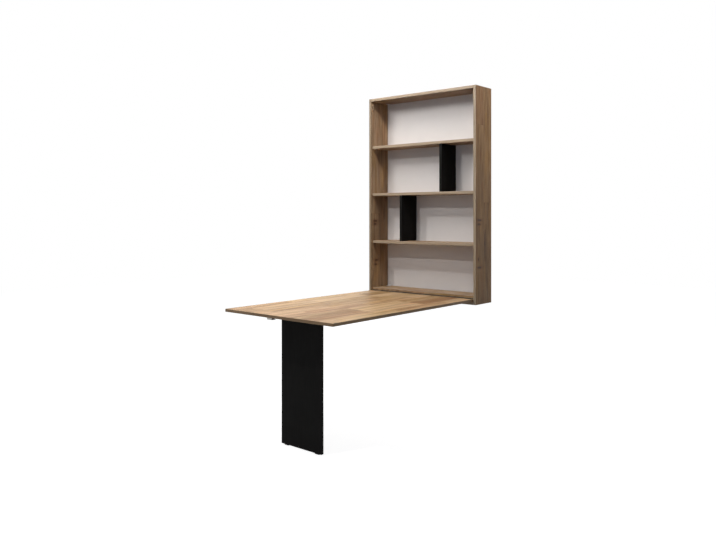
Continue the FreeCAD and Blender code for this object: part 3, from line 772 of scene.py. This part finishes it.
def make_screw_tree():
    """Countersunk screws with a cross recess: head's face at each point, shank along local -Z."""
    tree, given, out = geometry_tree("countersunk_screws", [
        (part, "Float", size) for part, size in SCREW_SIZES.items()])
    head_radius, head_height, shank_radius, shank_length, width, depth = (
        given[part] for part in SCREW_SIZES)
    head = lifted(cone(tree, HEAD_SIDES, head_radius * 0.95, shank_radius, head_height),
                  head_height * -1.0)
    shank = lifted(cone(tree, SHANK_SIDES, shank_radius, shank_radius * 0.55, shank_length),
                   (shank_length + head_height * 0.9) * -1.0)
    bar = wire(tree, "GeometryNodeMeshCube", {
        "Size": combine(tree, head_radius * 1.2, width, depth * 2.0)})
    tools = [moved(bar, turn=(0.0, 0.0, math.radians(degrees))) for degrees in (22, 112)]
    tools.append(lifted(cone(tree, RECESS_SIDES, width * 1.05, width * 0.25, depth * 1.25),
                        depth * -1.2))
    cut = place_node(tree, "GeometryNodeMeshBoolean", operation="DIFFERENCE", solver="EXACT")
    feed(cut.inputs["Mesh 1"], head)
    for tool in tools:
        feed(cut.inputs["Mesh 2"], tool)
    return close_tree(given, out, instances(given["Geometry"], join(Wire(cut.outputs[0]), shank)))


screw_tree = make_screw_tree()


def facing(direction):
    """Euler turn that brings local +Z to the given direction."""
    return tuple(Vector(direction).to_track_quat("Z", "Y").to_euler())


def solid_tops(node, direction):
    """Middle of each loose solid of a CAD node on its side that faces a direction."""
    bm = bmesh.new()
    bm.from_mesh(cad[node].data)
    bmesh.ops.remove_doubles(bm, verts=bm.verts, dist=SAME_POINT)
    seen, tops = set(), []
    for vert in bm.verts:
        if vert.index in seen:
            continue
        group, stack = [], [vert]
        seen.add(vert.index)
        while stack:
            here = stack.pop()
            group.append(here.co.copy())
            for edge in here.link_edges:
                other = edge.other_vert(here)
                if other.index not in seen:
                    seen.add(other.index)
                    stack.append(other)
        low, high = Vector(map(min, zip(*group))), Vector(map(max, zip(*group)))
        spot = (low + high) / 2
        for axis, way in enumerate(direction):
            if way:
                spot[axis] = high[axis] if way > 0 else low[axis]
        tops.append(tuple(spot))
    bm.free()
    return tops


def screws_piece(name, node, direction, slot, body, inward=False, sizes=None):
    """Screws in place of a node's own, heads facing the direction or, where inward, the middle."""
    ways = (direction, [-part for part in direction]) if inward else (direction,)
    spots = [(spot, facing(way)) for way in ways for spot in solid_tops(node, way)
             if not inward or Vector(way).dot(spot) < 0]
    material = zinc if slot == "zinc_steel" else hinge_steel
    grow_piece(name, screw_tree, sizes or {}, spots, material, slot, body, node)


screws_piece("rail_hinge_screws", "leaf_hinge_rail_screws", (0, -1, 0), "hinge_steel", "cabinet")
screws_piece("leaf_hinge_screws", "leaf_hinge_leaf_screws", (0, 0, 1), "hinge_steel", "leaf")
screws_piece("leg_hinge_top_screws", "leg_hinge_leaf_screws", (0, 0, -1), "hinge_steel", "leaf")
screws_piece("leg_hinge_side_screws", "leg_hinge_leg_screws", (0, 1, 0), "hinge_steel", "leg")
screws_piece("pull_screws", "handle_screws", (0, 0, -1), "zinc_steel", "leaf",
             sizes={"Shank Length": 0.021})
screws_piece("pad_screws", "glide_screws", (0, 0, -1), "zinc_steel", "leg")
screws_piece("bracket_board_screws", "bracket_screws", (0, 0, -1), "zinc_steel", "cabinet",
             inward=True)
screws_piece("catch_side_screws", "catch_screws", (-1, 0, 0), "hinge_steel", "cabinet", inward=True,
             sizes={"Head Radius": 0.0024, "Head Height": 0.0012, "Shank Radius": 0.0012,
                    "Shank Length": 0.017, "Recess Width": 0.0007, "Recess Depth": 0.0008})


def rectangle(tree, width, height):
    return wire(tree, "GeometryNodeCurvePrimitiveQuadrilateral", {"Width": width, "Height": height},
                mode="RECTANGLE")


def swept(curve, profile):
    return wire(curve.tree, "GeometryNodeCurveToMesh", {
        "Curve": curve, "Profile Curve": profile, "Fill Caps": True})


def make_hinge_tree():
    """Half of a strip hinge about X: a plate and its rolled knuckles, every second one."""
    tree, given, out = geometry_tree("strip_hinge_half", [
        ("Knuckles", "Int", 13), ("First", "Float", 0.0), ("Pitch", "Float", KNUCKLE_PITCH),
        ("Gap", "Float", KNUCKLE_GAP), ("Sheet", "Float", HINGE_SHEET),
        ("Radius", "Float", KNUCKLE_RADIUS), ("Offset", "Float", PLATE_OFFSET),
        ("Plate Width", "Float", PLATE_WIDTH), ("Plate Start", "Float", PLATE_START),
        ("Length", "Float", 0.81)])
    knuckles, first, pitch, sheet, plate_start = (
        given[part] for part in ("Knuckles", "First", "Pitch", "Sheet", "Plate Start"))
    # A knuckle is the sheet rolled round the pin: a strip swept along an open circle, which lies
    # in XY and is then turned to lay its axle along X
    circle = wire(tree, "GeometryNodeCurveArc", {
        "Resolution": 20, "Radius": given["Radius"] - sheet * 0.5, "Start Angle": QUARTER,
        "Sweep Angle": KNUCKLE_SWEEP}, mode="RADIUS")
    width = pitch - given["Gap"]
    knuckle = moved(swept(circle, rectangle(tree, sheet, width)), turn=(QUARTER, 0.0, QUARTER))
    neck_length = plate_start + sheet * 0.3
    rise = given["Offset"] - sheet * 0.5
    neck = wire(tree, "GeometryNodeMeshCube", {"Size": combine(tree, width, neck_length, sheet)})
    neck = moved(neck, combine(tree, 0.0, neck_length * 0.5, rise))
    line = wire(tree, "GeometryNodeMeshLine", {
        "Count": maths("CEIL", (knuckles - first) * 0.5),
        "Start Location": combine(tree, knuckles * -0.5 * pitch + (first + 0.5) * pitch),
        "Offset": combine(tree, pitch * 2.0)}, mode="OFFSET", count_mode="TOTAL")
    row = wire(tree, "GeometryNodeInstanceOnPoints", {
        "Points": line, "Instance": join(knuckle, neck)})
    # The plate is an outline with rounded corners, drawn along X
    plate_run = given["Plate Width"] - plate_start
    outline = wire(tree, "GeometryNodeFilletCurve", {
        "Curve": rectangle(tree, plate_run, sheet), "Radius": sheet * 0.28, "Count": 3},
        mode="POLY")
    half_length = given["Length"] * 0.5
    spine = wire(tree, "GeometryNodeCurvePrimitiveLine", {
        "Start": combine(tree, half_length * -1.0), "End": combine(tree, half_length)})
    plate = moved(swept(spine, outline), combine(tree, 0.0, plate_start + plate_run * 0.5, rise))
    return close_tree(given, out, join(row, plate))


hinge_tree = make_hinge_tree()


def hinge_piece(name, node, first, count, turn, axle, body, flip=False):
    """Grow a hinge half about X, then turn it and set it on its axle."""
    values = {"Knuckles": count, "First": float(first), "Length": count * KNUCKLE_PITCH}
    piece = grow_piece(name, hinge_tree, values, [((0, 0, 0), (0, 0, 0))], hinge_steel,
                       "hinge_steel", body, node)
    change = Matrix.Translation(Vector(axle)) @ Matrix.Rotation(math.radians(turn), 4, "X")
    if flip:
        change = change @ Matrix.Diagonal((1, 1, -1, 1))
    piece.data.transform(change)
    if flip:
        piece.data.flip_normals()


axles = {joint["name"]: joint["pos_m"] for joint in frame["joints"]}
leaf_axle, leg_axle = axles["leaf_fold"], axles["leg_fold"]
hinge_piece("leaf_hinge_rail_half", "leaf_hinge_rail_plate", 0, LEAF_KNUCKLES, -90, leaf_axle,
            "cabinet")
hinge_piece("leaf_hinge_leaf_half", "leaf_hinge_leaf_plate", 1, LEAF_KNUCKLES, 180, leaf_axle,
            "leaf")
hinge_piece("leg_hinge_leaf_half", "leg_hinge_leaf_plate", 0, LEG_KNUCKLES, 0, leg_axle, "leaf")
hinge_piece("leg_hinge_leg_half", "leg_hinge_leg_plate", 1, LEG_KNUCKLES, -90, leg_axle, "leg",
            flip=True)


def make_cap_tree():
    """Press-in cover caps on points: a thin disc with a low crown and a plug under it."""
    tree, given, out = geometry_tree("cover_caps", [
        ("Radius", "Float", CAP_RADIUS), ("Rise", "Float", CAP_RISE)])
    radius, rise = given["Radius"], given["Rise"]
    base = cone(tree, CAP_SIDES, radius * 0.93, radius, rise * 0.75)
    crown = lifted(cone(tree, CAP_SIDES, radius * 0.55, radius * 0.82, rise * 0.25), rise * 0.75)
    plug = wire(tree, "GeometryNodeMeshCylinder", {
        "Vertices": CAP_SIDES, "Radius": radius * 0.87, "Depth": rise}, fill_type="NGON")
    cap = join(base, crown, lifted(plug, rise * -0.5))
    return close_tree(given, out, instances(given["Geometry"], cap))


cap_spots = [((x, y, z - way * CAP_RISE), facing((0, 0, way)))
             for way in (1, -1) for x, y, z in solid_tops("cam_covers", (0, 0, way))
             if (z > TOP_CAPS_ABOVE) == (way > 0)]
grow_piece("cam_caps", make_cap_tree(), {}, cap_spots, oak_plastic, "cover_plastic", "cabinet",
           "cam_covers")


# ---------------------------------------------------------------- single detailed pieces
def eased_piece(name, build, ease, *about):
    """Piece from a bmesh builder, its sharp edges rounded."""
    bm = bmesh.new()
    build(bm)
    bmesh.ops.remove_doubles(bm, verts=bm.verts, dist=SAME_POINT)
    bmesh.ops.recalc_face_normals(bm, faces=bm.faces)
    edges = [edge for edge in bm.edges
             if len(edge.link_faces) == 2 and edge.calc_face_angle(0.0) > EASED_ANGLE]
    bmesh.ops.bevel(bm, geom=edges, offset=ease, segments=3, profile=0.5, affect="EDGES",
                    clamp_overlap=True)
    add_piece(name, mesh_of(bm, name), *about)


def extrude_outline(bm, outline, low, high):
    """Prism over an outline in XY."""
    bottom, top = ([bm.verts.new((x, y, z)) for x, y in outline] for z in (low, high))
    bm.faces.new(list(reversed(bottom)))
    bm.faces.new(top)
    for index in range(len(outline)):
        after = (index + 1) % len(outline)
        bm.faces.new((bottom[index], bottom[after], top[after], top[index]))


def glide_pads(bm):
    """Two pads with half-round ends."""
    low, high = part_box("leg_glides")
    middle, radius = (low.y + high.y) / 2, (high.y - low.y) / 2
    for centre in (low.x + GLIDE_LENGTH / 2, high.x - GLIDE_LENGTH / 2):
        outline = []
        for sign in (1, -1):
            end = centre + sign * (GLIDE_LENGTH / 2 - radius)
            outline += [(end + radius * x, middle + radius * y)
                        for x, y in arc(-90 * sign, 180, 12)]
        extrude_outline(bm, outline, low.z, high.z)


def catch_cases(bm):
    """Moulded catch bodies: a case whose front has a slot for the magnet between two jaws."""
    low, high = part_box("catch_housings")
    magnet_low, magnet_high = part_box("catch_magnets")
    for left in (low.x, high.x - CATCH_WIDTH):
        right = left + CATCH_WIDTH
        middle = (left + right) / 2
        full = [(left, low.y), (right, low.y), (right, high.y), (left, high.y)]
        slot = [(middle - CATCH_JAW, low.y), (middle - CATCH_JAW, magnet_high.y),
                (middle + CATCH_JAW, magnet_high.y), (middle + CATCH_JAW, low.y)]
        extrude_outline(bm, full[:1] + slot + full[1:], magnet_low.z, magnet_high.z)
        extrude_outline(bm, full, low.z, magnet_low.z - CATCH_SEAM)
        extrude_outline(bm, full, magnet_high.z + CATCH_SEAM, high.z)


eased_piece("glide_pads", glide_pads, GLIDE_EASE, black_plastic, "glide_plastic", "leg",
            ("leg_glides",))
eased_piece("catch_cases", catch_cases, CATCH_EASE, brown_plastic, "catch_plastic", "cabinet",
            ("catch_housings",))


def hinge_pin(name, node, body):
    """Hinge pin with domed ends."""
    low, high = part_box(node)
    centre_y, centre_z = (low.y + high.y) / 2, (low.z + high.z) / 2
    dome = [(PIN_DOME * (1 - y), PIN_RADIUS * x) for x, y in arc(0, 90, 4)]
    profile = [(low.x + inset, radius) for inset, radius in reversed(dome)]
    profile += [(high.x - inset, radius) for inset, radius in dome]
    bm = bmesh.new()
    rings = []
    for along, radius in profile:
        if radius < SAME_POINT:
            rings.append([bm.verts.new((along, centre_y, centre_z))] * PIN_SIDES)
        else:
            rings.append([bm.verts.new((along, centre_y + radius * x, centre_z + radius * y))
                          for x, y in arc(0, 360, PIN_SIDES)[:-1]])
    for before, after in zip(rings, rings[1:]):
        for step in range(PIN_SIDES):
            following = (step + 1) % PIN_SIDES
            corners = (before[step], after[step], after[following], before[following])
            bm.faces.new(dict.fromkeys(corners))
    add_piece(name, mesh_of(bm, name), zinc, "hinge_steel", body, (node,))


hinge_pin("leaf_hinge_axle", "leaf_hinge_pin", "cabinet")
hinge_pin("leg_hinge_axle", "leg_hinge_pin", "leaf")


# ---------------------------------------------------------------- floor, lights and camera
WHITE = (1, 1, 1, 1)
FLOOR_HALF = 9.0
FLOOR_GLOW_NEAR, FLOOR_GLOW_FAR = 0.893, 0.945
WORLD_STRENGTH = 0.150


def choose_shader(tree, rays, usual, seen, surface):
    """Show one shader to the rays named and the other to the rest."""
    path = place_node(tree, "ShaderNodeLightPath").outputs
    mask = Wire(path[rays[0]])
    for ray in rays[1:]:
        mask = maths("MAXIMUM", mask, Wire(path[ray]))
    feed(surface, wire(tree, "ShaderNodeMixShader", {0: mask, 1: usual, 2: seen}))


def studio_floor():
    height = solid_box[0].z
    mesh = bpy.data.meshes.new("floor")
    corners = [(x * FLOOR_HALF, y * FLOOR_HALF, height)
               for x, y in ((-1, -1), (1, -1), (1, 1), (-1, 1))]
    mesh.from_pydata(corners, [], [(0, 1, 2, 3)])
    floor = link_object("studio_floor", mesh)
    material, tree, shader = blank_material("studio_floor")
    shader.inputs["Base Color"].default_value = (0.34, 0.34, 0.35, 1)
    shader.inputs["Roughness"].default_value = 0.9
    shader.inputs["Specular IOR Level"].default_value = 0.0
    # The floor grows white away from the leg, where the lamps add less to it
    foot_low, foot_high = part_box("leg_panel")
    foot = ((foot_low.x + foot_high.x) / 2, (foot_low.y + foot_high.y) / 2, height)
    away = vector_maths(tree, "DISTANCE", wire(tree, "ShaderNodeTexCoord", output="Object"), foot)
    glow = wire(tree, "ShaderNodeEmission", {
        "Color": WHITE, "Strength": span(tree, away, 1.0, 4.0, FLOOR_GLOW_NEAR, FLOOR_GLOW_FAR)})
    matt = wire(tree, "ShaderNodeBsdfDiffuse", {"Color": (0.42, 0.42, 0.42, 1)})
    seen = wire(tree, "ShaderNodeAddShader", {0: glow, 1: matt})
    choose_shader(tree, ("Is Camera Ray", "Is Glossy Ray"), Wire(shader.outputs[0]), seen,
                  tree.nodes["Material Output"].inputs["Surface"])
    mesh.materials.append(material)


def studio_world():
    world = bpy.data.worlds.new("studio")
    bpy.context.scene.world = world
    world.use_nodes = True
    tree = world.node_tree
    background = tree.nodes["Background"]
    background.inputs["Color"].default_value = (0.93, 0.98, 1.04, 1)
    background.inputs["Strength"].default_value = WORLD_STRENGTH
    white = wire(tree, "ShaderNodeBackground", {"Color": WHITE, "Strength": 1.0})
    choose_shader(tree, ("Is Camera Ray", "Is Glossy Ray", "Is Transmission Ray"),
                  Wire(background.outputs[0]), white, tree.nodes["World Output"].inputs["Surface"])


def lamp(name, kind, place, target, power, size, colour=(1.0, 0.985, 0.965)):
    data = bpy.data.lights.new(name, kind)
    data.energy = power
    data.color = colour
    if kind == "AREA":
        data.shape = "SQUARE"
        data.size = size
    else:
        data.shadow_soft_size = size
    light = link_object(name, data)
    light.location = place
    light.rotation_euler = (Vector(target) - Vector(place)).to_track_quat("-Z", "Y").to_euler()


studio_floor()
studio_world()
lamp("far_ceiling_lamp", "POINT", (-0.55, -2.9, 1.37), (0, 0, 0), 77.5, 0.045)
lamp("near_ceiling_lamp", "POINT", (-0.84, -1.58, 1.21), (0, 0, 0), 47.0, 0.035)
lamp("right_wall_lamp", "AREA", (4.5, -1.13, 1.57), (4.0, -1.0, 2.50), 320.0, 0.12)
lamp("front_fill_lamp", "AREA", (1.9, -3.6, 0.3), (0.0, -0.1, 0.0), 9.0, 1.6, (0.80, 0.95, 1.20))
lamp("back_lamp", "AREA", (-1.5, 2.7, 0.9), (0.0, 0.0, -0.1), 60.0, 1.2)
lamp("table_lamp", "AREA", (-0.12, -1.38, 1.6), (0.0, -1.0, -0.66), 31.0, 0.9)

# Camera, its focal length and horizon in pixels of the rendered image
IMAGE_WIDTH, IMAGE_MIDDLE_ROW = 716, 269.5
FOCAL_LENGTH, HORIZON_ROW = 699.015, 214.406
camera_data = bpy.data.cameras.new("camera")
camera_data.sensor_width = 36.0
camera_data.lens = FOCAL_LENGTH / IMAGE_WIDTH * camera_data.sensor_width
camera_data.shift_y = (HORIZON_ROW - IMAGE_MIDDLE_ROW) / IMAGE_WIDTH
camera = link_object("camera", camera_data)
camera.location = (2.70126, -3.96148, -0.14218)
camera.rotation_euler = (QUARTER, 0.0, 0.709)
bpy.context.scene.camera = camera
bpy.context.scene.view_settings.view_transform = "Standard"
